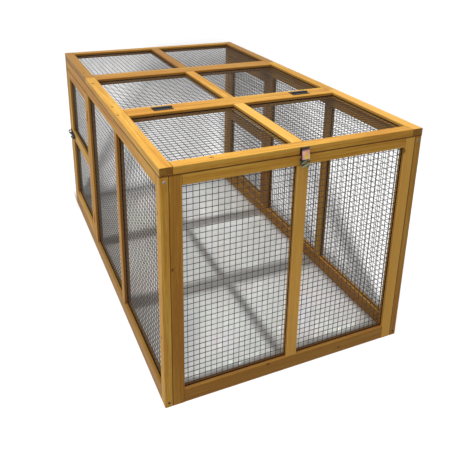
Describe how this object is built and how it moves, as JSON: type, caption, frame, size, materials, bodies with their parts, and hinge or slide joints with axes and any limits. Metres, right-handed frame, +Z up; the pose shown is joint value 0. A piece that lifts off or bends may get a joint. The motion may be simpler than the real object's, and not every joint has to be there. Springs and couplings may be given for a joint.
{
  "type": "chicken run",
  "caption": "Free-standing timber-framed wire-mesh run with a hinged lid and hasp at the front, bolted doors in its sides and an open rear end.",
  "frame": {"origin": "on the ground under the middle of the whole length, from the hasp strap's loose end to the open rear end, on the run's centre line", "axes": "+X to the right seen from the front, +Y from the front panel towards the open rear end, +Z up"},
  "size_m": [0.9058, 1.5148, 0.799],
  "materials": {
    "timber": "golden stained softwood, satin",
    "mesh_wire": "galvanised welded wire, dull",
    "black_fittings": "black coated, satin",
    "plated_fittings": "yellow zinc plated, slightly iridescent",
    "bright_screws": "bright zinc"
  },
  "bodies": {
    "root": {"front_left_stile": "timber", "front_right_stile": "timber", "front_centre_stile": "timber", "front_top_rail": "timber", "front_bottom_rail": "timber", "front_mesh": "mesh_wire", "left_top_rail": "timber", "left_bottom_rail": "timber", "left_front_stile": "timber", "left_middle_stile": "timber", "left_door_post": "timber", "left_rear_stile": "timber", "left_mesh": "mesh_wire", "right_top_rail": "timber", "right_bottom_rail": "timber", "right_front_stile": "timber", "right_middle_stile": "timber", "right_door_post": "timber", "right_rear_stile": "timber", "right_mesh": "mesh_wire", "roof_middle_side_rails": "timber", "roof_middle_front_rail": "timber", "roof_middle_rear_rail": "timber", "roof_middle_centre_rail": "timber", "roof_middle_mesh": "mesh_wire", "roof_rear_side_rails": "timber", "roof_rear_front_rail": "timber", "roof_rear_back_rail": "timber", "roof_rear_centre_rail": "timber", "roof_rear_mesh": "mesh_wire", "roof_hinge_leaves": "black_fittings", "lid_hinge_pins": "black_fittings", "door_post_hinge_leaves": "plated_fittings", "door_hinge_pins": "plated_fittings", "bolt_keepers": "black_fittings", "staple_plate": "plated_fittings", "frame_screws": "bright_screws"},
    "lid": {"lid_left_rail": "timber", "lid_right_rail": "timber", "lid_front_rail": "timber", "lid_rear_rail": "timber", "lid_centre_rail": "timber", "lid_mesh": "mesh_wire", "lid_hinge_leaves": "black_fittings", "hasp_leaf": "plated_fittings", "hasp_pin": "plated_fittings"},
    "left_door": {"left_door_stiles": "timber", "left_door_rails": "timber", "left_door_mesh": "mesh_wire", "left_door_hinge_leaves": "plated_fittings", "left_bolt_plate": "black_fittings"},
    "right_door": {"right_door_stiles": "timber", "right_door_rails": "timber", "right_door_mesh": "mesh_wire", "right_door_hinge_leaves": "plated_fittings", "right_bolt_plate": "black_fittings"},
    "left_bolt": {"left_bolt": "black_fittings"},
    "right_bolt": {"right_bolt": "black_fittings"},
    "hasp_strap": {"hasp_strap": "plated_fittings"},
    "staple_knob": {"staple_knob": "plated_fittings"}
  },
  "joints": [
    {"name": "lid_hinge", "type": "hinge", "parent": "root", "child": "lid", "pos_m": [0, -0.25262, 0.7955], "axis": [-1, 0, 0], "range_deg": [0, 170]},
    {"name": "left_door_hinge", "type": "hinge", "parent": "root", "child": "left_door", "pos_m": [-0.4377, 0.25888, 0.3885], "axis": [0, 0, 1], "range_deg": [0, 165]},
    {"name": "right_door_hinge", "type": "hinge", "parent": "root", "child": "right_door", "pos_m": [0.4377, 0.25888, 0.3885], "axis": [0, 0, -1], "range_deg": [0, 165]},
    {"name": "left_bolt_slide", "type": "slide", "parent": "left_door", "child": "left_bolt", "axis": [0, 1, 0], "range_m": [0, 0.027]},
    {"name": "right_bolt_slide", "type": "slide", "parent": "right_door", "child": "right_bolt", "axis": [0, 1, 0], "range_m": [0, 0.027]},
    {"name": "hasp_hinge", "type": "hinge", "parent": "lid", "child": "hasp_strap", "pos_m": [0, -0.74562, 0.7887], "axis": [-1, 0, 0], "range_deg": [-9, 151]},
    {"name": "staple_turn", "type": "hinge", "parent": "root", "child": "staple_knob", "pos_m": [0, -0.74762, 0.7477], "axis": [0, -1, 0], "range_deg": [0, 90]}
  ]
}
